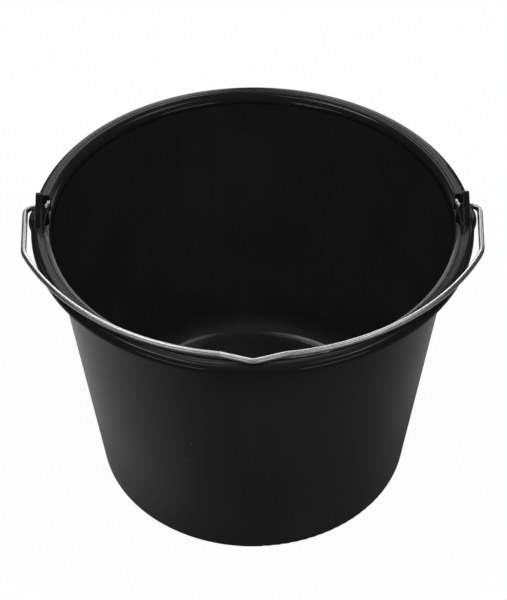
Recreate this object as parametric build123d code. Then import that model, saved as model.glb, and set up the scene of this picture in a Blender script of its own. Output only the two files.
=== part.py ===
from build123d import *
import math
import os

# A black moulded builder's bucket with a bent wire bail.
# Millimetres. The origin is the middle of the foot ring, on the ground, and +Z is up.
# The ears stand at +X and -X. The bail lies forward at rest, over the rim at -Y.

# Tub
RIM_DIAMETER = 320.0  # over the skirt
BUCKET_HEIGHT = 229.0  # from the ground to the flat of the rim
BASE_DIAMETER = 242.6
WALL = 2.2
FLOOR = 2.4
FOOT_HEIGHT = 1.6  # how far the floor is raised inside the foot ring
FOOT_WIDTH = 5.5
FOOT_EDGE = 0.8  # rounding inside the foot ring
HEEL = 2.0  # rounding of the outer bottom edge
CORNER_INSIDE = 18.0  # rounding between the floor and the wall
GATE_DIAMETER = 9.0  # stub left by moulding, in the middle of the underside
GATE_HEIGHT = 1.0

# Rim
FLANGE_OVERHANG = 13.6  # from the wall's outside to the skirt's outside
FLANGE = 2.4
SKIRT_DEPTH = 6.3  # from the flat of the rim to the skirt's lower edge
SKIRT = 2.0
SKIRT_EDGE = 0.6
SHOULDER = 4.7  # rounding from the flat to the skirt
LIP = 7.0  # rounding from the flat to the inside of the wall
OUTER_BAND = 1.9  # flat between the shoulder and the groove
GROOVE_WIDTH = 1.1
GROOVE_DEPTH = 0.5

# Ears
EAR_INSET = 3.5  # from the skirt's outside to the ear's outer face
EAR_FOOT = 6.0  # thickness where the ear leaves the flat
EAR_TIP = 4.5  # thickness at its top
EAR_LENGTH = 29.6  # along the rim, at the flat
EAR_TOP_LENGTH = 2.6
EAR_HEIGHT = 20.2
EAR_CORNER = 2.2  # rounding of the top corners
EAR_EDGE = 0.6
PIVOT_HEIGHT = 7.2  # from the flat to the wire's axis
RIB_REACH = 4.6  # inward from the ear's inner face, beside the wire's tip
RIB_FOOT = 0.8  # inward from the ear's inner face, at the ends of the ear
RIB_LAP = 0.3  # how far a rib laps over the ear past its rounded inner edge
RIB_RISE = 1.0  # how far a rib stands out past the ear's slope
BOSS_BULGE = 2.3  # how far the rim swells outward beside the ear
BOSS_LENGTH = 24.0  # along the rim
BOSS_BLEND = 14.0  # hollow rounding from the boss into the rim

# Bail
WIRE = 4.0  # diameter
PIVOT_CLEARANCE = 0.3  # round the wire in the ear
REST_GAP = 0.3  # between the resting wire and the flat
TIP_GAP = 0.8  # between the ear and the cranked tip of the wire
TIP_LENGTH = 3.0  # straight end past the crank
TIP_EDGE = 0.4  # rounding of the cut ends
TIP_CLEARANCE = 1.6  # between the swinging tip and the ribs
ELBOW_BEND = 7.0  # bend radii are those of the wire's middle
LEG_OFFSET = 3.5  # from the skirt's outside to the top of the leg
LEG_TAPER = 3.0  # how far each leg leans inward down to the shoulder
SHOULDER_REACH = 48.4  # from the pivot to the shoulder of the bail
SHOULDER_BEND = 22.0
APEX_INSET = 6.1  # from the skirt's outside to the tip of the kink
KINK_HALF = 22.0  # half the width of the kink in the middle
KINK_DEPTH = 6.8
KINK_BEND = 16.0
APEX_BEND = 9.0

rim_radius = RIM_DIAMETER / 2
base_radius = BASE_DIAMETER / 2
wall_radius = rim_radius - FLANGE_OVERHANG
skirt_bottom = BUCKET_HEIGHT - SKIRT_DEPTH
flange_bottom = BUCKET_HEIGHT - FLANGE
ear_root = flange_bottom + FLANGE / 8
floor_top = FOOT_HEIGHT + FLOOR
pivot_z = BUCKET_HEIGHT + PIVOT_HEIGHT
wire_radius = WIRE / 2
ear_outside = rim_radius - EAR_INSET
ear_inside = ear_outside - EAR_FOOT
tip_bend = wire_radius + TIP_GAP
tip_reach = tip_bend + TIP_LENGTH
groove_outside = rim_radius - SHOULDER - OUTER_BAND
# the turned tub and the ring of the rim overlap between these two
ring_inside = groove_outside + OUTER_BAND / 4
tub_edge = groove_outside + OUTER_BAND / 2
apex_reach = rim_radius - APEX_INSET
rest_tilt = math.degrees(math.asin((PIVOT_HEIGHT - wire_radius - REST_GAP) / apex_reach))
swing_range = 180 + 2 * rest_tilt
draft = math.atan2(wall_radius - base_radius, skirt_bottom)


def wall_at(z, inward=0.0):
    """Radius of the conical wall at a height, moved inward by a thickness."""
    return base_radius + (wall_radius - base_radius) * z / skirt_bottom - inward


def corner_nearest(profile, x, y):
    """The corner of a profile that lies nearest to a point."""
    return min(profile.vertices(), key=lambda v: math.hypot(v.X - x, v.Y - y))


def tub():
    """Wall, floor, foot ring, lip and the flat of the rim, turned from one closed profile."""
    groove_in = groove_outside - GROOVE_WIDTH
    lip = (wall_at(BUCKET_HEIGHT, WALL), BUCKET_HEIGHT)
    corner = (wall_at(floor_top, WALL), floor_top)
    heel = (base_radius, 0)
    under_flange = (wall_at(flange_bottom), flange_bottom)
    # under the rounded corner the floor keeps its thickness, which leaves a hollow inside the foot ring
    bend_z = floor_top + CORNER_INSIDE
    bend_r = wall_at(bend_z, WALL) - CORNER_INSIDE / math.cos(draft)
    bend_radius = CORNER_INSIDE + FLOOR
    foot_in = base_radius - FOOT_WIDTH
    turn = math.asin((foot_in - bend_r) / bend_radius)
    hollow_start = (bend_r, FOOT_HEIGHT)
    hollow_end = (foot_in, bend_z - bend_radius * math.cos(turn))
    halfway = (bend_r + bend_radius * math.sin(turn / 2), bend_z - bend_radius * math.cos(turn / 2))
    foot_edges = [(foot_in, 0), hollow_end]
    groove = [
        (groove_outside, BUCKET_HEIGHT),
        (groove_outside - GROOVE_WIDTH / 4, BUCKET_HEIGHT - GROOVE_DEPTH),
        (groove_in + GROOVE_WIDTH / 4, BUCKET_HEIGHT - GROOVE_DEPTH),
        (groove_in, BUCKET_HEIGHT),
    ]
    outline = Polyline(
        hollow_end,
        (foot_in, 0),
        heel,
        under_flange,
        (tub_edge, flange_bottom),
        (tub_edge, BUCKET_HEIGHT),
        *groove,
        lip,
        corner,
        (0, floor_top),
        (0, FOOT_HEIGHT),
        hollow_start,
    )
    hollow = ThreePointArc(hollow_start, halfway, hollow_end)
    profile = make_face([*outline.edges(), *hollow.edges()])
    roundings = [(lip, LIP), (corner, CORNER_INSIDE), (heel, HEEL), (under_flange, LIP - WALL)]
    roundings += [(point, FOOT_EDGE) for point in foot_edges]
    for point, radius in roundings:
        profile = fillet(corner_nearest(profile, *point), radius)
    turned = revolve(Plane.XZ * profile, Axis.Z)
    gate = Pos(0, 0, FOOT_HEIGHT - GATE_HEIGHT / 2) * Cylinder(GATE_DIAMETER / 2, GATE_HEIGHT)
    return turned + gate


def rim_outline(inset=0.0):
    """The rim seen from above, moved inward by a thickness: a circle that swells beside each ear."""
    half = BOSS_LENGTH / 2
    rise = BOSS_BULGE + rim_radius - math.sqrt(rim_radius**2 - half**2)
    boss_radius = (half**2 + rise**2) / (2 * rise)
    middle = rim_radius + BOSS_BULGE - boss_radius
    swelling = Circle(boss_radius - inset)
    outline = Circle(rim_radius - inset) + Pos(middle, 0) * swelling + Pos(-middle, 0) * swelling
    valleys = [v for v in outline.vertices() if abs(v.Y) > half / 2]
    return fillet(valleys, BOSS_BLEND + inset)


def skirt():
    """The rounded shoulder of the rim and the skirt that hangs from it."""
    ring = extrude(Pos(0, 0, skirt_bottom) * rim_outline(), SKIRT_DEPTH)
    top = [e for e in ring.edges() if e.center().Z > BUCKET_HEIGHT - SKIRT_EDGE]
    ring = fillet(top, SHOULDER)
    hollow = extrude(Pos(0, 0, skirt_bottom) * rim_outline(SKIRT), SKIRT_DEPTH - FLANGE)
    ring -= hollow
    feet = [e for e in ring.edges() if e.center().Z < skirt_bottom + SKIRT_EDGE / 2]
    ring = fillet(feet, SKIRT_EDGE)
    middle = Pos(0, 0, BUCKET_HEIGHT) * Cylinder(ring_inside, 4 * SKIRT_DEPTH)
    return ring - middle


def ear_profile(rise=0.0):
    """Side view of an ear, square to the rim, with its slopes moved outward. Starts inside the flange."""
    top = BUCKET_HEIGHT + EAR_HEIGHT
    half_top = EAR_TOP_LENGTH / 2 + rise
    spread = (EAR_LENGTH - EAR_TOP_LENGTH) / 2 / EAR_HEIGHT
    half_root = half_top + spread * (top - ear_root)
    corners = [(-half_root, ear_root), (half_root, ear_root), (half_top, top), (-half_top, top)]
    return Polyline(*corners, close=True)


def ear():
    """One ear at +X: a tapered lug with two wedge ribs behind it, either side of the wire's tip."""
    top = BUCKET_HEIGHT + EAR_HEIGHT
    side_on = Plane((0, 0, 0), x_dir=(0, 1, 0), z_dir=(1, 0, 0))
    face = make_face(ear_profile())
    face = fillet(face.vertices().sort_by(Axis.Y)[-2:], EAR_CORNER)
    block = extrude(side_on * face, rim_radius)
    section = Polyline(
        (ear_inside, ear_root),
        (ear_inside, top),
        (ear_inside + EAR_TIP, top),
        (ear_outside, ear_root),
        close=True,
    )
    lug = block & extrude(Plane.XZ * make_face(section), EAR_LENGTH, both=True)
    # every edge above the root but the short ones across the ear's thickness
    above = [e for e in lug.edges() if e.center().Z > ear_root + EAR_EDGE]
    lug = fillet([e for e in above if abs(e.tangent_at(0.5).X) < 0.5], EAR_EDGE)

    behind = extrude(side_on * make_face(ear_profile(RIB_RISE)), rim_radius)
    tip_room = math.hypot(tip_reach, wire_radius) + TIP_CLEARANCE
    rib_end = EAR_LENGTH / 2
    rib_start = ear_inside + EAR_EDGE + RIB_LAP
    for end in (-1, 1):
        wedge = Polyline(
            (rib_start, end * rib_end),
            (ear_inside - RIB_FOOT, end * rib_end),
            (ear_inside - RIB_REACH, end * tip_room),
            (rib_start, end * tip_room),
            close=True,
        )
        lug += behind & extrude(Pos(0, 0, ear_root) * make_face(wedge), EAR_HEIGHT)
    return lug


def bucket_body():
    """The whole moulding."""
    body = tub() + skirt()
    lug = ear()
    hole = Cylinder(wire_radius + PIVOT_CLEARANCE, 2 * FLANGE_OVERHANG)
    bore = Pos(rim_radius, 0, pivot_z) * Rot(0, 90, 0) * hole
    for half_turn in (0, 180):
        turn = Rot(0, 0, half_turn)
        body += turn * lug
        body -= turn * bore
    return body


def bail_line():
    """Middle line of the wire, in its own plane: X across the bucket, Y away from the pivot."""
    tip_corner = ear_inside - tip_bend
    tip = (tip_corner, -tip_reach)
    leg_top = rim_radius + LEG_OFFSET
    shoulder = (leg_top - LEG_TAPER, SHOULDER_REACH)
    kink = (KINK_HALF, apex_reach - KINK_DEPTH)
    middle = (math.hypot(*kink) ** 2 - math.hypot(*shoulder) ** 2) / (2 * (kink[1] - shoulder[1]))
    sweep_radius = math.hypot(kink[0], kink[1] - middle)
    halfway = math.atan2(shoulder[0], shoulder[1] - middle) / 2 + math.atan2(kink[0], kink[1] - middle) / 2
    crest = (sweep_radius * math.sin(halfway), middle + sweep_radius * math.cos(halfway))

    def other(point):
        return (-point[0], point[1])

    corners = [tip, (tip_corner, 0), (leg_top, 0), shoulder]
    right = Polyline(*corners)
    bow = ThreePointArc(shoulder, crest, kink)
    middle_kink = Polyline(kink, (0, apex_reach), other(kink))
    bow_left = ThreePointArc(other(kink), other(crest), other(shoulder))
    left = Polyline(*[other(point) for point in reversed(corners)])
    line = Wire([*right.edges(), *bow.edges(), *middle_kink.edges(), *bow_left.edges(), *left.edges()])
    bends = [((tip_corner, 0), tip_bend), ((leg_top, 0), ELBOW_BEND)]
    bends += [(shoulder, SHOULDER_BEND), (kink, KINK_BEND)]
    bends += [(other(point), radius) for point, radius in bends]
    bends.append(((0, apex_reach), APEX_BEND))
    for point, radius in bends:
        line = line.fillet_2d(radius, [corner_nearest(line, *point)])
    return line


def wire_bail():
    """The handle, lying forward over the rim."""
    tilt = math.radians(rest_tilt)
    lying = Plane((0, 0, pivot_z), x_dir=(1, 0, 0), z_dir=(0, math.sin(tilt), -math.cos(tilt)))
    line = lying * bail_line()
    start = Plane(line @ 0, z_dir=line % 0)
    bail = sweep(start * Circle(wire_radius), path=line)
    cut_ends = bail.edges().sort_by(Axis.Y)[-2:]
    return fillet(cut_ends, TIP_EDGE)


def main():
    os.makedirs("parts", exist_ok=True)
    pieces = {"bucket_body": bucket_body(), "wire_bail": wire_bail()}
    for node, solid in pieces.items():
        export_step(solid, f"parts/{node}.step")
    print(f"pivot height {pivot_z:.2f}  rest tilt {rest_tilt:.3f}  swing range {swing_range:.2f} degrees")
    print(f"wire length {bail_line().length:.1f}")


main()
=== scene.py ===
import math

import bpy
from bpy.props import FloatProperty, FloatVectorProperty, IntProperty, PointerProperty
from mathutils import Matrix, Vector


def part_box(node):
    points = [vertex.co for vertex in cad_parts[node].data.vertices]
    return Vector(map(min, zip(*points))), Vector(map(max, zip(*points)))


bl_info = {
    "name": "Builder's Bucket",
    "version": (1, 0, 0),
    "blender": (4, 5, 0),
    "location": "View3D > Sidebar > Bucket",
    "description": "Finishes a moulded bucket and its wire bail, and sets a plain studio round them",
    "category": "Object",
}

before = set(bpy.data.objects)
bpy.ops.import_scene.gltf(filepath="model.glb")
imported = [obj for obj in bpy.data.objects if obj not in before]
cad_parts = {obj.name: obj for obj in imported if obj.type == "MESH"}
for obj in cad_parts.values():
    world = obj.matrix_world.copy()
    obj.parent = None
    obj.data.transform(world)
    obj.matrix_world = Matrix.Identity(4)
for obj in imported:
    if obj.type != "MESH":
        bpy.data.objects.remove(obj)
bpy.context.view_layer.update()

# The bucket's own sizes, in metres: its highest corner gives the top of the ears and, along Y, the rim.
BUCKET_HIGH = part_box("bucket_body")[1]
EARS_TOP = BUCKET_HIGH.z
RIM_RADIUS = BUCKET_HIGH.y
FOOT_SHARE = 0.75  # radius of the foot over that of the rim, in round figures
FOOT_RADIUS = FOOT_SHARE * RIM_RADIUS
WALL_RADIUS = 0.14  # of the wall three quarters of the way up, in round figures

# Plastic: the stretch of each pattern's own values over which it sets in.
DULL_NOISE = (0.55, 0.85)
ROUGH_NOISE = (0.50, 0.90)
SCUFF_NOISE = (0.48, 0.70)
FLOW_STRENGTH = 0.4  # of the flow lines, beside the blotches
FLOW_SQUEEZE = 0.12  # width of a flow line over its length
MARK_ROUGHNESS = 0.25  # added where the plastic is scuffed or dusty

# Painted highlights along edges: the cosine between the rounded and the true normal, and how far the first
# leans in or out.
GLINT_COSINE = (0.80, 0.97)
GLINT_LEAN = (0.10, 0.35)

# Specks of dust: the draw above which a cell holds one, and its core and its edge in widths of a cell.
SPECK_DRAW = 0.88
SPECK_RADIUS = (0.016, 0.034)

# Wire: the stretch of each pattern's own values over which it sets in.
WIRE_DULL_NOISE = (0.50, 0.85)
WIRE_ROUGH_NOISE = (0.15, 1.0)
LINE_STRENGTH = 0.5  # of the drawn lines, beside the dulled patches
GRIP_FADE = 1.4  # the grip's end over its half length
GRIP_SHINE = 0.86  # of the grip, where the rest of the wire has 1

# Stage.
FLOOR_DROP = 0.0004  # how far the floor lies under the foot, in metres
MOTTLE = 1.03  # the palest of the floor over its plain colour
SENSOR_WIDTH = 36.0  # millimetres

# A node sheet: the steps between its columns and rows, and the sockets that a mix node has for colours.
COLUMN_STEP = 220
ROW_STEP = 190
MIX_FIRST = 6
MIX_SECOND = 7
MIX_RESULT = 2


class PlasticFinish(bpy.types.PropertyGroup):
    """The black moulded plastic of the bucket."""

    colour: FloatVectorProperty(
        name="Colour", description="Colour of the clean plastic",
        subtype="COLOR", size=3, min=0.0, max=1.0, default=(0.0142, 0.0142, 0.0144),
    )
    dull_colour: FloatVectorProperty(
        name="Dull colour", description="Colour where the plastic is blotched and rubbed",
        subtype="COLOR", size=3, min=0.0, max=1.0, default=(0.0185, 0.0185, 0.0187),
    )
    # Painted shade: the rim and the ears get this darker colour to hold down the light that falls on them
    # from overhead.
    rim_shade_colour: FloatVectorProperty(
        name="Rim colour", description="Colour of the rim and the ears, rubbed blacker by hands",
        subtype="COLOR", size=3, min=0.0, max=1.0, default=(0.007, 0.007, 0.0072),
    )
    rim_fade: FloatVectorProperty(
        name="Rim fade",
        description="Distances below the tops of the ears between which the rim's colour sets in",
        unit="LENGTH", size=2, min=0.0, max=0.2, default=(0.0280, 0.0265), precision=4,
    )
    # Painted highlights: the two settings below paint glints along the edges of the rim and the ears in a
    # pale colour, over a width.
    edge_glint_colour: FloatVectorProperty(
        name="Edge colour", description="Colour of the worn edges of the rim and the ears",
        subtype="COLOR", size=3, min=0.0, max=1.0, default=(0.075, 0.075, 0.075),
    )
    edge_width: FloatProperty(
        name="Edge width", description="Width of the wear along an edge",
        unit="LENGTH", min=0.0001, max=0.01, default=0.0014, precision=5,
    )
    scuff_colour: FloatVectorProperty(
        name="Scuff colour", description="Colour of the scuffed foot",
        subtype="COLOR", size=3, min=0.0, max=1.0, default=(0.085, 0.085, 0.083),
    )
    scuff_width: FloatProperty(
        name="Scuff width", description="Width of the scuffs on the foot",
        unit="LENGTH", min=0.0005, max=0.1, default=0.00625, precision=5,
    )
    scuff_fade: FloatVectorProperty(
        name="Scuff fade", description="Heights over the ground between which the scuffs fade away",
        unit="LENGTH", size=2, min=0.0, max=0.1, default=(0.0003, 0.0010), precision=5,
    )
    dust_colour: FloatVectorProperty(
        name="Dust colour", description="Colour of the specks of dust",
        subtype="COLOR", size=3, min=0.0, max=1.0, default=(0.30, 0.30, 0.29),
    )
    speck_spacing: FloatProperty(
        name="Speck spacing", description="Distance between places where a speck of dust may lie",
        unit="LENGTH", min=0.002, max=0.2, default=0.022,
    )
    smooth: FloatProperty(
        name="Smoothest", description="Roughness where the plastic shines most",
        subtype="FACTOR", min=0.0, max=1.0, default=0.11,
    )
    rough: FloatProperty(
        name="Roughest", description="Roughness where the plastic is dull",
        subtype="FACTOR", min=0.0, max=1.0, default=0.17,
    )
    blotch: FloatProperty(
        name="Blotch", description="Width of the blotches",
        unit="LENGTH", min=0.005, max=0.5, default=0.07,
    )
    flow_line: FloatProperty(
        name="Flow line", description="Width of the faint lines in which the plastic ran up the wall",
        unit="LENGTH", min=0.001, max=0.1, default=0.014,
    )
    grain: FloatProperty(
        name="Grain", description="Width of the fine grain of the surface",
        unit="LENGTH", min=0.0002, max=0.02, default=0.0014,
    )
    grain_depth: FloatProperty(
        name="Grain depth", description="Depth of the fine grain",
        unit="LENGTH", min=0.0, max=0.001, default=0.000012, precision=6,
    )


class WireFinish(bpy.types.PropertyGroup):
    """The zinc-plated drawn wire of the bail."""

    colour: FloatVectorProperty(
        name="Colour", description="Colour of the bright zinc",
        subtype="COLOR", size=3, min=0.0, max=1.0, default=(0.93, 0.93, 0.94),
    )
    dull_colour: FloatVectorProperty(
        name="Dull colour", description="Colour of the zinc where it has dulled",
        subtype="COLOR", size=3, min=0.0, max=1.0, default=(0.74, 0.74, 0.75),
    )
    smooth: FloatProperty(
        name="Smoothest", description="Roughness of the bright zinc",
        subtype="FACTOR", min=0.0, max=1.0, default=0.22,
    )
    rough: FloatProperty(
        name="Roughest", description="Roughness of the dulled zinc",
        subtype="FACTOR", min=0.0, max=1.0, default=0.36,
    )
    dull_patch: FloatProperty(
        name="Dull patch", description="Length of the dulled patches",
        unit="LENGTH", min=0.001, max=0.1, default=0.012,
    )
    grip_half: FloatProperty(
        name="Grip", description="Half the length in the middle that hands have dulled",
        unit="LENGTH", min=0.01, max=0.3, default=0.10,
    )
    # Painted shade: the wire is darkened where it turns in the ears, in the shade of the ears' ribs; the
    # four settings below place it.
    ear_shade_colour: FloatVectorProperty(
        name="Grime colour", description="Colour of the wire where it turns in the ears",
        subtype="COLOR", size=3, min=0.0, max=1.0, default=(0.10, 0.10, 0.10),
    )
    ear_shade_span: FloatVectorProperty(
        name="Grime span", description="Distances from the middle between which the wire is grimy",
        unit="LENGTH", size=2, min=0.0, max=1.0, default=(0.1488, 0.1570), precision=4,
    )
    ear_shade_reach: FloatProperty(
        name="Grime reach", description="Distance from the hinge within which the wire is grimy",
        unit="LENGTH", min=0.001, max=0.1, default=0.006, precision=4,
    )
    ear_shade_fade: FloatProperty(
        name="Grime fade", description="Length over which the grime starts and ends",
        unit="LENGTH", min=0.0001, max=0.01, default=0.0010, precision=5,
    )
    draw_line: FloatProperty(
        name="Draw line", description="Spacing of the fine lines that drawing left along the wire",
        unit="LENGTH", min=0.00002, max=0.002, default=0.00022, precision=5,
    )
    draw_depth: FloatProperty(
        name="Draw depth", description="Depth of the lines along the wire",
        unit="LENGTH", min=0.0, max=0.0005, default=0.000008, precision=6,
    )


class StudioStage(bpy.types.PropertyGroup):
    """The floor, the lights and the camera."""

    floor_size: FloatProperty(
        name="Floor", description="Width of the floor",
        unit="LENGTH", min=1.0, max=100.0, default=40.0,
    )
    floor_colour: FloatVectorProperty(
        name="Floor colour", description="Colour of the floor as seen",
        subtype="COLOR", size=3, min=0.0, max=1.0, default=(0.92, 0.92, 0.92),
    )
    floor_glow: FloatProperty(
        name="Floor whiteness",
        description="Share of plain white in the floor by the bucket, for the camera",
        subtype="FACTOR", min=0.0, max=1.0, default=0.94,
    )
    glow_reach: FloatVectorProperty(
        name="White reach",
        description="Distances from the axis where the floor starts and ends its turn to white",
        unit="LENGTH", size=2, min=0.0, max=20.0, default=(0.35, 1.20),
    )
    gloss_share: FloatProperty(
        name="White in gloss", description="Share of that white that shows in glossy surfaces",
        subtype="FACTOR", min=0.0, max=1.0, default=0.02,
    )
    floor_bounce: FloatVectorProperty(
        name="Floor bounce", description="Colour that the floor throws back on the bucket",
        subtype="COLOR", size=3, min=0.0, max=1.0, default=(0.065, 0.065, 0.065),
    )
    left_bounce: FloatVectorProperty(
        name="Left bounce", description="Colour that the floor throws back on the left",
        subtype="COLOR", size=3, min=0.0, max=1.0, default=(0.475, 0.475, 0.475),
    )
    right_bounce: FloatVectorProperty(
        name="Right bounce", description="Colour that the floor throws back on the right",
        subtype="COLOR", size=3, min=0.0, max=1.0, default=(0.150, 0.150, 0.150),
    )
    back_bounce: FloatVectorProperty(
        name="Back bounce", description="Colour that the floor throws back behind on the right",
        subtype="COLOR", size=3, min=0.0, max=1.0, default=(0.28, 0.28, 0.28),
    )
    bounce_front: FloatProperty(
        name="Bounce middle", description="How far in front of the bucket's axis the two sides part",
        unit="LENGTH", min=0.0, max=1.0, default=0.10,
    )
    bounce_reach: FloatVectorProperty(
        name="Bounce reach",
        description="Distances from the axis where the paler sides start and end their fade",
        unit="LENGTH", size=2, min=0.0, max=10.0, default=(0.32, 0.55),
    )
    room: FloatProperty(
        name="Room", description="Brightness of the room round the lights",
        min=0.0, max=2.0, default=0.03,
    )
    back_cards: FloatVectorProperty(
        name="Back cards", description="Brightness of the cards high up behind, left and right",
        size=2, min=0.0, max=50.0, default=(1.0, 1.0),
    )
    back_strips: FloatVectorProperty(
        name="Back strips", description="Brightness of the strips on the inner sides of those cards",
        size=2, min=0.0, max=50.0, default=(3.0, 3.0),
    )
    backdrop: FloatProperty(
        name="Backdrop", description="Brightness of the low backdrop behind",
        min=0.0, max=50.0, default=1.7,
    )
    side_cards: FloatVectorProperty(
        name="Side cards", description="Brightness of the low cards behind to the sides, left and right",
        size=2, min=0.0, max=50.0, default=(0.4, 1.0),
    )
    high_cards: FloatVectorProperty(
        name="High cards", description="Brightness of the cards overhead, left and right",
        size=2, min=0.0, max=50.0, default=(2.8, 1.3),
    )
    high_edges: FloatVectorProperty(
        name="High edges", description="Brightness of the dimmer inner edges of those cards",
        size=2, min=0.0, max=50.0, default=(1.0, 0.6),
    )
    front_strips: FloatVectorProperty(
        name="Front strips", description="Brightness of the low strips in front, left and right",
        size=2, min=0.0, max=50.0, default=(1.0, 1.0),
    )
    top_lamp: FloatProperty(
        name="Top lamp", description="Brightness of the soft sheet overhead",
        min=0.0, max=50.0, default=2.2,
    )
    camera_place: FloatVectorProperty(
        name="Camera", description="Where the camera stands",
        subtype="TRANSLATION", unit="LENGTH", size=3, default=(0.0, -0.938, 1.0087),
    )
    camera_dip: FloatProperty(
        name="Dip", description="How far the camera looks down",
        subtype="ANGLE", unit="ROTATION", default=math.radians(42.652),
    )
    camera_turn: FloatProperty(
        name="Turn", description="How far the camera turns to the right",
        subtype="ANGLE", unit="ROTATION", default=math.radians(0.026),
    )
    camera_roll: FloatProperty(
        name="Roll", description="How far the camera leans to one side",
        subtype="ANGLE", unit="ROTATION", default=math.radians(-0.227),
    )
    lens: FloatProperty(
        name="Lens", description="Focal length in millimetres on a 36 mm sensor",
        min=10.0, max=300.0, default=101.08,
    )
    seed: IntProperty(name="Seed", description="Where the patterns of the finishes start", default=3)


def new_finish(name):
    """A new material with an empty sheet, and that sheet."""
    finish = bpy.data.materials.new(name)
    finish.use_nodes = True
    finish.node_tree.nodes.clear()
    return finish, finish.node_tree


def add_node(tree, kind, place, inputs=None, **settings):
    """Adds a node at a column and row of the sheet, with values on its own sockets."""
    node = tree.nodes.new(kind)
    column, row = place
    node.location = (column * COLUMN_STEP, -row * ROW_STEP)
    for name, value in settings.items():
        setattr(node, name, value)
    for name, value in (inputs or {}).items():
        node.inputs[name].default_value = value
    return node


def noise(tree, place, source, width, seed, detail, roughness):
    """A cloudy pattern over a vector, about one width from cloud to cloud."""
    node = add_node(
        tree, "ShaderNodeTexNoise", place, noise_dimensions="4D",
        inputs={"Scale": 1 / width, "Detail": detail, "Roughness": roughness, "W": seed},
    )
    tree.links.new(source, node.inputs["Vector"])
    return node.outputs["Fac"]


def spread(tree, place, source, low, high, bottom=0.0, top=1.0):
    """Stretches the part of a value between low and high over bottom to top, with soft ends."""
    node = add_node(
        tree, "ShaderNodeMapRange", place, interpolation_type="SMOOTHSTEP",
        inputs={"From Min": low, "From Max": high, "To Min": bottom, "To Max": top},
    )
    tree.links.new(source, node.inputs["Value"])
    return node.outputs["Result"]


def reckon(tree, place, operation, first, second=None):
    """One sum on sockets or plain numbers."""
    node = add_node(tree, "ShaderNodeMath", place, operation=operation)
    for socket, value in zip(node.inputs, (first, second)):
        if value is None:
            continue
        if isinstance(value, (int, float)):
            socket.default_value = value
        else:
            tree.links.new(value, socket)
    return node.outputs["Value"]


def reckon_vectors(tree, place, operation, *vectors):
    """One sum on vectors, as a node whose outputs are a vector and a value."""
    node = add_node(tree, "ShaderNodeVectorMath", place, operation=operation)
    for socket, vector in zip(node.inputs, vectors):
        tree.links.new(vector, socket)
    return node


def split_vector(tree, place, vector):
    """The three parts of a vector."""
    node = add_node(tree, "ShaderNodeSeparateXYZ", place)
    tree.links.new(vector, node.inputs["Vector"])
    return node.outputs["X"], node.outputs["Y"], node.outputs["Z"]


def flat_vector(tree, place, first, second):
    """A vector of two values, with nothing in its third part."""
    node = add_node(tree, "ShaderNodeCombineXYZ", place)
    tree.links.new(first, node.inputs["X"])
    tree.links.new(second, node.inputs["Y"])
    return node.outputs["Vector"]


def mix_colours(tree, place, share, first, second):
    """Mixes two colours, sockets or plain values, by a share."""
    node = add_node(tree, "ShaderNodeMix", place, data_type="RGBA")
    tree.links.new(share, node.inputs["Factor"])
    for socket, value in ((node.inputs[MIX_FIRST], first), (node.inputs[MIX_SECOND], second)):
        if isinstance(value, bpy.types.NodeSocket):
            tree.links.new(value, socket)
        else:
            socket.default_value = (*value, 1.0)
    return node.outputs[MIX_RESULT]


def put_on(node_name, finish):
    """Gives a part of the frame its finish."""
    if node_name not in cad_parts:
        raise RuntimeError(f"the frame has no part named {node_name}")
    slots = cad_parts[node_name].data.materials
    slots.clear()
    slots.append(finish)


class BUCKET_OT_mould_finish(bpy.types.Operator):
    """Gives the bucket its black moulded plastic"""

    bl_idname = "bucket.mould_finish"
    bl_label = "Finish the Bucket"
    bl_options = {"REGISTER", "UNDO"}

    def execute(self, context):
        look = context.scene.bucket_plastic
        put_on("bucket_body", moulded_plastic(look, context.scene.bucket_stage.seed))
        return {"FINISHED"}


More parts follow.
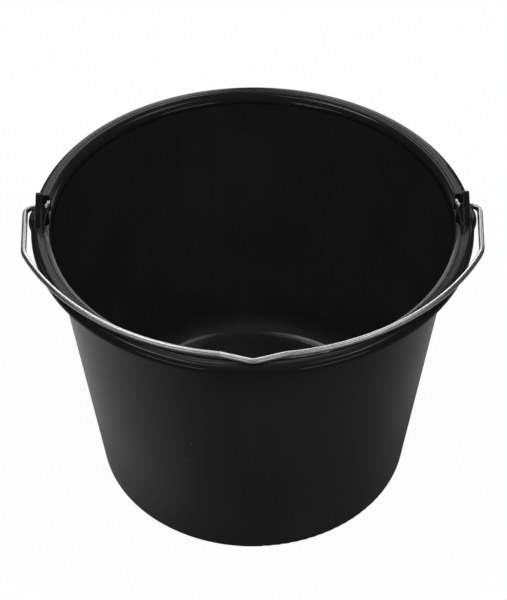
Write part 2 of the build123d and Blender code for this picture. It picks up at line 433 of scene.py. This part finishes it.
def moulded_plastic(look, seed):
    """Black plastic: blotches, flow lines, fine grain, a scuffed foot, specks of dust, painted shade on the
    rim and the ears, and painted highlights along their edges.
    """
    finish, tree = new_finish("moulded_black_plastic")
    link = tree.links.new
    place = add_node(tree, "ShaderNodeTexCoord", (-8, 0)).outputs["Object"]
    across, along, height = split_vector(tree, (-7, 2), place)
    start, whole = look.rim_fade
    on_rim = spread(tree, (-5, 13), height, EARS_TOP - start, EARS_TOP - whole)
    blotch = noise(tree, (-6, 0), place, look.blotch, seed, detail=3.0, roughness=0.6)
    flow = flow_lines(tree, across, along, height, look, seed)
    grain = noise(tree, (-6, 5), place, look.grain, seed, detail=2.0, roughness=0.5)
    scuff = foot_scuffs(tree, place, height, look, seed)
    glint = edge_glints(tree, across, along, on_rim, look)
    speck = dust_specks(tree, place, look)

    faint_flow = reckon(tree, (-2, 2), "MULTIPLY", flow, FLOW_STRENGTH)
    uneven = reckon(tree, (-2, 1), "ADD", blotch, faint_flow)
    dull = spread(tree, (-1, 1), uneven, *DULL_NOISE)
    plain = mix_colours(tree, (0, 0), dull, look.colour, look.dull_colour)
    # Painted shade: the rim and the ears are darkened against the light from overhead.
    rim_shaded = mix_colours(tree, (1, 0), on_rim, plain, look.rim_shade_colour)
    # Painted highlight: glints along the edges of the rim and the ears, in a pale colour.
    glinted = mix_colours(tree, (2, 0), glint, rim_shaded, look.edge_glint_colour)
    scuffed = mix_colours(tree, (3, 0), scuff, glinted, look.scuff_colour)
    shown = mix_colours(tree, (4, 0), speck, scuffed, look.dust_colour)

    marks = reckon(tree, (-2, 8), "MAXIMUM", scuff, speck)
    roughened = reckon(tree, (0, 3), "MULTIPLY", marks, MARK_ROUGHNESS)
    clean = spread(tree, (0, 2), uneven, *ROUGH_NOISE, look.smooth, look.rough)
    roughness = reckon(tree, (1, 2), "ADD", clean, roughened)
    bump = add_node(tree, "ShaderNodeBump", (1, 4), inputs={"Strength": 1.0, "Distance": look.grain_depth})
    link(grain, bump.inputs["Height"])

    shader = add_node(tree, "ShaderNodeBsdfPrincipled", (5, 0), inputs={"IOR": 1.5})
    link(shown, shader.inputs["Base Color"])
    link(roughness, shader.inputs["Roughness"])
    link(bump.outputs["Normal"], shader.inputs["Normal"])
    out = add_node(tree, "ShaderNodeOutputMaterial", (6, 0))
    link(shader.outputs["BSDF"], out.inputs["Surface"])
    return finish


def flow_lines(tree, across, along, height, look, seed):
    """Faint lines up the wall: a pattern on the wall unrolled, with its height squeezed."""
    angle = reckon(tree, (-6, 2), "ARCTAN2", along, across)
    around = reckon(tree, (-5, 2), "MULTIPLY", angle, WALL_RADIUS / look.flow_line)
    upwards = reckon(tree, (-5, 3), "MULTIPLY", height, FLOW_SQUEEZE / look.flow_line)
    unrolled = flat_vector(tree, (-4, 2), around, upwards)
    return noise(tree, (-3, 2), unrolled, 1.0, seed, detail=2.0, roughness=0.5)


def foot_scuffs(tree, place, height, look, seed):
    """Scuffs where the foot meets the ground, broken up by a pattern."""
    rub = noise(tree, (-6, 7), place, look.scuff_width, seed, detail=4.0, roughness=0.65)
    near_ground = spread(tree, (-5, 6), height, *look.scuff_fade, 1.0, 0.0)
    rubbed = spread(tree, (-5, 7), rub, *SCUFF_NOISE)
    return reckon(tree, (-4, 7), "MULTIPLY", near_ground, rubbed)


def edge_glints(tree, across, along, on_rim, look):
    """Painted highlights where the normal, rounded off over the width of an edge, leaves the true one."""
    bevel = add_node(tree, "ShaderNodeBevel", (-6, 11), samples=4, inputs={"Radius": look.edge_width})
    rounded = bevel.outputs["Normal"]
    true = add_node(tree, "ShaderNodeNewGeometry", (-6, 12)).outputs["Normal"]
    agree = reckon_vectors(tree, (-5, 11), "DOT_PRODUCT", rounded, true).outputs["Value"]
    on_edge = spread(tree, (-4, 11), agree, *GLINT_COSINE, 1.0, 0.0)
    rim_edge = reckon(tree, (-3, 11), "MULTIPLY", on_edge, on_rim)

    # Only edges that run round the rim or up the ears get the painted highlight: there the rounded normal
    # leans in or out.
    level = flat_vector(tree, (-6, 14), across, along)
    outward = reckon_vectors(tree, (-5, 14), "NORMALIZE", level).outputs["Vector"]
    lean = reckon_vectors(tree, (-4, 14), "DOT_PRODUCT", rounded, outward).outputs["Value"]
    leaning = reckon(tree, (-3, 14), "ABSOLUTE", lean)
    along_rim = spread(tree, (-2, 14), leaning, *GLINT_LEAN)
    return reckon(tree, (-2, 11), "MULTIPLY", rim_edge, along_rim)


def dust_specks(tree, place, look):
    """Specks of dust: about one cell in eight holds one."""
    cells = add_node(
        tree, "ShaderNodeTexVoronoi", (-6, 9), voronoi_dimensions="3D",
        inputs={"Scale": 1 / look.speck_spacing, "Randomness": 1.0},
    )
    tree.links.new(place, cells.inputs["Vector"])
    draw = add_node(tree, "ShaderNodeSeparateColor", (-5, 9))
    tree.links.new(cells.outputs["Color"], draw.inputs["Color"])
    chosen = reckon(tree, (-4, 9), "GREATER_THAN", draw.outputs["Red"], SPECK_DRAW)
    small = spread(tree, (-4, 10), cells.outputs["Distance"], *SPECK_RADIUS, 1.0, 0.0)
    return reckon(tree, (-3, 9), "MULTIPLY", chosen, small)


class BUCKET_OT_wire_finish(bpy.types.Operator):
    """Gives the bail its zinc-plated wire"""

    bl_idname = "bucket.wire_finish"
    bl_label = "Finish the Bail"
    bl_options = {"REGISTER", "UNDO"}

    def execute(self, context):
        look = context.scene.bucket_wire
        put_on("wire_bail", zinc_wire(look, context.scene.bucket_stage.seed))
        return {"FINISHED"}


def zinc_wire(look, seed):
    """Bright zinc on drawn wire: fine lines, short dulled patches, a duller grip, and painted shade where
    it turns in the ears.
    """
    finish, tree = new_finish("zinc_plated_wire")
    link = tree.links.new
    place = add_node(tree, "ShaderNodeTexCoord", (-6, 0)).outputs["Object"]
    across, along, _ = split_vector(tree, (-4, 5), place)
    sideways = reckon(tree, (-3, 5), "ABSOLUTE", across)

    # The wire lies nearly flat at rest, so a pattern squeezed in height runs along it.
    squeeze = add_node(
        tree, "ShaderNodeMapping", (-5, 0),
        inputs={"Scale": (1 / look.dull_patch, 1 / look.dull_patch, 1 / look.draw_line)},
    )
    link(place, squeeze.inputs["Vector"])
    lines = noise(tree, (-4, 0), squeeze.outputs["Vector"], 1.0, seed, detail=2.0, roughness=0.6)
    patches = noise(tree, (-4, 2), place, look.dull_patch, seed, detail=4.0, roughness=0.6)

    dull = spread(tree, (-3, 2), patches, *WIRE_DULL_NOISE)
    zinc = mix_colours(tree, (-2, 0), dull, look.colour, look.dull_colour)
    # Painted shade where the wire turns in the ears.
    shown = mix_colours(tree, (-1, 0), shade_in_ears(tree, sideways, along, look), zinc, look.ear_shade_colour)
    faint_lines = reckon(tree, (-4, 3), "MULTIPLY", lines, LINE_STRENGTH)
    uneven = reckon(tree, (-3, 3), "ADD", faint_lines, dull)
    roughness = spread(tree, (-2, 2), uneven, *WIRE_ROUGH_NOISE, look.smooth, look.rough)
    bump = add_node(tree, "ShaderNodeBump", (-2, 4), inputs={"Strength": 1.0, "Distance": look.draw_depth})
    link(lines, bump.inputs["Height"])

    # The middle of the bail, where hands hold it, has lost some of its shine.
    grip_end = GRIP_FADE * look.grip_half
    shine = spread(tree, (-2, 5), sideways, look.grip_half, grip_end, GRIP_SHINE, 1.0)

    shader = add_node(tree, "ShaderNodeBsdfPrincipled", (0, 0))
    link(shown, shader.inputs["Base Color"])
    link(shine, shader.inputs["Metallic"])
    link(roughness, shader.inputs["Roughness"])
    link(bump.outputs["Normal"], shader.inputs["Normal"])
    out = add_node(tree, "ShaderNodeOutputMaterial", (1, 0))
    link(shader.outputs["BSDF"], out.inputs["Surface"])
    return finish


def shade_in_ears(tree, sideways, along, look):
    """Painted shade where the wire turns in the ears, short of its bright tips."""
    start, end = look.ear_shade_span
    past_tip = spread(tree, (-2, 6), sideways, start, start + look.ear_shade_fade)
    before_leg = spread(tree, (-2, 7), sideways, end - look.ear_shade_fade, end, 1.0, 0.0)
    turned = reckon(tree, (-1, 6), "MULTIPLY", past_tip, before_leg)
    from_hinge = reckon(tree, (-3, 8), "ABSOLUTE", along)
    reach_end = look.ear_shade_reach + look.ear_shade_fade
    by_hinge = spread(tree, (-2, 8), from_hinge, look.ear_shade_reach, reach_end, 1.0, 0.0)
    return reckon(tree, (-1, 7), "MULTIPLY", turned, by_hinge)


class BUCKET_OT_set_stage(bpy.types.Operator):
    """Sets the floor, the lights, the room and the camera"""

    bl_idname = "bucket.set_stage"
    bl_label = "Set the Stage"
    bl_options = {"REGISTER", "UNDO"}

    def execute(self, context):
        stage = context.scene.bucket_stage
        lay_floor(context, stage)
        hang_lights(context, stage)
        light_room(context, stage)
        stand_camera(context, stage)
        context.scene.view_settings.view_transform = "Standard"
        return {"FINISHED"}


def seen_as_white(tree, place, gloss_share):
    """How much of the plain white a ray sees: all for the camera and through glass, a share in gloss."""
    column, row = place
    path = add_node(tree, "ShaderNodeLightPath", place)
    camera = path.outputs["Is Camera Ray"]
    through_glass = path.outputs["Is Transmission Ray"]
    gloss = reckon(tree, (column + 1, row + 1), "MULTIPLY", path.outputs["Is Glossy Ray"], gloss_share)
    clear = reckon(tree, (column + 1, row), "MAXIMUM", camera, through_glass)
    return reckon(tree, (column + 2, row), "MAXIMUM", clear, gloss)


def lay_floor(context, stage):
    """A plain pale floor under the foot, whitened for the camera and still holding the shadow."""
    half = stage.floor_size / 2
    mesh = bpy.data.meshes.new("studio_floor")
    outline = ((-half, -half), (half, -half), (half, half), (-half, half))
    corners = [(across, along, -FLOOR_DROP) for across, along in outline]
    mesh.from_pydata(corners, [], [(0, 1, 2, 3)])
    floor = bpy.data.objects.new("studio_floor", mesh)
    context.scene.collection.objects.link(floor)
    mesh.materials.append(pale_floor(stage))


def pale_floor(stage):
    """The floor's finish: pale for the camera, and dimmer in what it throws back on the bucket."""
    finish, tree = new_finish("pale_floor")
    link = tree.links.new
    place = add_node(tree, "ShaderNodeTexCoord", (-4, 0)).outputs["Object"]
    distance = reckon_vectors(tree, (-3, 4), "LENGTH", place).outputs["Value"]
    mottle = add_node(tree, "ShaderNodeTexNoise", (-3, 0), inputs={"Scale": 6.0, "Detail": 3.0})
    link(place, mottle.inputs["Vector"])
    paler = [min(1.0, channel * MOTTLE) for channel in stage.floor_colour]
    pale = mix_colours(tree, (-2, 0), mottle.outputs["Fac"], stage.floor_colour, paler)
    seen = seen_as_white(tree, (-4, 2), stage.gloss_share)
    shown = mix_colours(tree, (-1, -1), seen, bounce_colour(tree, place, distance, stage), pale)

    matt = add_node(tree, "ShaderNodeBsdfDiffuse", (-1, 0))
    link(shown, matt.inputs["Color"])
    white = add_node(tree, "ShaderNodeEmission", (-1, 1), inputs={"Color": (1, 1, 1, 1), "Strength": 1.0})
    glow = spread(tree, (-2, 4), distance, *stage.glow_reach, stage.floor_glow, 1.0)
    share = reckon(tree, (-1, 2), "MULTIPLY", seen, glow)
    blend = add_node(tree, "ShaderNodeMixShader", (0, 0))
    link(share, blend.inputs["Fac"])
    link(matt.outputs["BSDF"], blend.inputs[1])
    link(white.outputs["Emission"], blend.inputs[2])
    out = add_node(tree, "ShaderNodeOutputMaterial", (1, 0))
    link(blend.outputs["Shader"], out.inputs["Surface"])
    return finish


def bounce_colour(tree, place, distance, stage):
    """What the floor throws back, painted into its colour: dim painted shade in front, and paler painted
    pools of light to either side and behind, near the bucket, with a painted shadow by the foot.
    """
    across, along, _ = split_vector(tree, (-9, -6), place)
    forward = reckon(tree, (-8, -5), "SUBTRACT", -stage.bounce_front, along)
    angle = reckon(tree, (-7, -6), "ARCTAN2", across, forward)
    turn = reckon(tree, (-6, -6), "ABSOLUTE", angle)
    near = spread(tree, (-6, -7), distance, *stage.bounce_reach, 1.0, 0.0)

    # For each paler stretch of floor, a painted pool of light: its shares on the left and the right, the
    # angles from the front between which it pales, in degrees, how many foot radii out it is clear of the
    # painted shadow by the foot, its share at the foot, and its colour.
    on_left = (1.0, 0.0)
    on_right = (0.0, 1.0)
    stretches = (
        (on_left, (15, 150), 1.35, 0.5, stage.left_bounce),
        (on_right, (22, 135), 2.2, 0.0, stage.right_bounce),
        (on_right, (80, 140), 1.6, 0.1, stage.back_bounce),
    )
    bounce = stage.floor_bounce
    for count, (side, degrees, clear, foot_shadow_share, colour) in enumerate(stretches):
        row = 2 * count - 10
        rise = spread(tree, (-5, row), turn, *(math.radians(each) for each in degrees))
        on_side = spread(tree, (-4, row), across, -FOOT_RADIUS, FOOT_RADIUS, *side)
        # Painted shadow on the floor by the foot, where each pool of light fades out.
        out_of_foot_shadow = spread(tree, (-4, row + 1), distance, FOOT_RADIUS, clear * FOOT_RADIUS, foot_shadow_share, 1.0)
        share = reckon(tree, (-3, row), "MULTIPLY", rise, on_side)
        share = reckon(tree, (-3, row + 1), "MULTIPLY", share, near)
        share = reckon(tree, (-2, row), "MULTIPLY", share, out_of_foot_shadow)
        bounce = mix_colours(tree, (-1, row), share, bounce, colour)
    return bounce


def hang_lights(context, stage):
    """Plain cards that only show in what shines, and one soft lamp that lights the object."""
    top_middle = Vector((0.0, 0.0, EARS_TOP))
    wall_middle = top_middle / 2
    # Each card's name, middle, width, height and brightness.
    cards = (
        ("back_left_card", (-1.11, 5.0, 4.40), 1.78, 3.60, stage.back_cards[0]),
        ("back_right_card", (1.20, 5.0, 3.48), 1.60, 1.90, stage.back_cards[1]),
        ("back_left_strip", (-0.33, 4.9, 3.16), 0.24, 0.76, stage.back_strips[0]),
        ("back_right_strip", (0.33, 4.9, 3.16), 0.24, 0.76, stage.back_strips[1]),
        ("backdrop_left", (-0.47, 2.2, 0.76), 0.82, 0.86, stage.backdrop),
        ("backdrop_right", (0.47, 2.2, 0.76), 0.82, 0.86, stage.backdrop),
        ("side_left_card", (-2.25, 3.2, 1.80), 1.40, 1.40, stage.side_cards[0]),
        ("side_right_card", (2.25, 3.2, 1.80), 1.40, 1.40, stage.side_cards[1]),
        ("high_left_card", (-0.62, 0.25, 2.03), 0.50, 0.50, stage.high_cards[0]),
        ("high_left_edge", (-0.29, 0.12, 2.12), 0.40, 0.22, stage.high_edges[0]),
        ("high_right_card", (0.78, 0.0, 1.92), 0.65, 0.42, stage.high_cards[1]),
        ("high_right_edge", (0.50, 0.0, 2.04), 0.50, 0.16, stage.high_edges[1]),
        ("front_left_strip", (-1.00, -1.38, 0.68), 0.90, 0.35, stage.front_strips[0]),
        ("front_right_strip", (1.00, -1.38, 0.68), 0.90, 0.35, stage.front_strips[1]),
    )
    for name, place, width, height, brightness in cards:
        card = hang_panel(context, name, place, top_middle, width, height, brightness)
        card.visible_diffuse = False
    lamp = hang_panel(context, "top_lamp", (0.0, -0.5, 2.6), wall_middle, 5.0, 4.0, stage.top_lamp)
    lamp.visible_glossy = False


def hang_panel(context, name, place, aim, width, height, brightness):
    """A flat panel of light that faces a point and that the camera doesn't see."""
    light = bpy.data.lights.new(name, "AREA")
    light.shape = "RECTANGLE"
    light.size = width
    light.size_y = height
    light.energy = brightness * math.pi * width * height
    panel = bpy.data.objects.new(name, light)
    panel.location = place
    panel.rotation_euler = (aim - Vector(place)).to_track_quat("-Z", "Y").to_euler()
    panel.visible_camera = False
    context.scene.collection.objects.link(panel)
    return panel


def light_room(context, stage):
    """A dim even room that the camera sees as white."""
    world = bpy.data.worlds.new("studio_room")
    context.scene.world = world
    world.use_nodes = True
    tree = world.node_tree
    tree.nodes.clear()
    grey = (stage.room, stage.room, stage.room)
    white = (1.0, 1.0, 1.0)
    seen = seen_as_white(tree, (-4, 0), stage.gloss_share)
    shown = mix_colours(tree, (-1, 0), seen, grey, white)
    background = add_node(tree, "ShaderNodeBackground", (0, 0), inputs={"Strength": 1.0})
    tree.links.new(shown, background.inputs["Color"])
    out = add_node(tree, "ShaderNodeOutputWorld", (1, 0))
    tree.links.new(background.outputs["Background"], out.inputs["Surface"])


def stand_camera(context, stage):
    """The camera in front, looking down into the bucket."""
    data = bpy.data.cameras.new("studio_camera")
    data.sensor_width = SENSOR_WIDTH
    data.lens = stage.lens
    camera = bpy.data.objects.new("studio_camera", data)
    turn = Matrix.Rotation(-stage.camera_turn, 4, "Z")
    tilt = Matrix.Rotation(math.pi / 2 - stage.camera_dip, 4, "X")
    roll = Matrix.Rotation(stage.camera_roll, 4, "Z")
    camera.matrix_world = Matrix.Translation(stage.camera_place) @ turn @ tilt @ roll
    context.scene.collection.objects.link(camera)
    context.scene.camera = camera


class BUCKET_PT_sidebar(bpy.types.Panel):
    """The bucket's pieces and its stage"""

    bl_idname = "BUCKET_PT_sidebar"
    bl_label = "Bucket"
    bl_space_type = "VIEW_3D"
    bl_region_type = "UI"
    bl_category = "Bucket"

    def draw(self, context):
        scene = context.scene
        groups = (
            (BUCKET_OT_mould_finish, scene.bucket_plastic),
            (BUCKET_OT_wire_finish, scene.bucket_wire),
            (BUCKET_OT_set_stage, scene.bucket_stage),
        )
        for operator, settings in groups:
            box = self.layout.box()
            for name in settings.__annotations__:
                box.prop(settings, name)
            box.operator(operator.bl_idname)


GROUPS = {"bucket_plastic": PlasticFinish, "bucket_wire": WireFinish, "bucket_stage": StudioStage}
CLASSES = (
    *GROUPS.values(),
    BUCKET_OT_mould_finish, BUCKET_OT_wire_finish, BUCKET_OT_set_stage, BUCKET_PT_sidebar,
)


def register():
    for cls in CLASSES:
        bpy.utils.register_class(cls)
    for name, group in GROUPS.items():
        setattr(bpy.types.Scene, name, PointerProperty(type=group))


def unregister():
    for name in GROUPS:
        delattr(bpy.types.Scene, name)
    for cls in reversed(CLASSES):
        bpy.utils.unregister_class(cls)


def main():
    register()
    bpy.ops.bucket.set_stage()
    bpy.ops.bucket.mould_finish()
    bpy.ops.bucket.wire_finish()


if __name__ == "__main__":
    main()
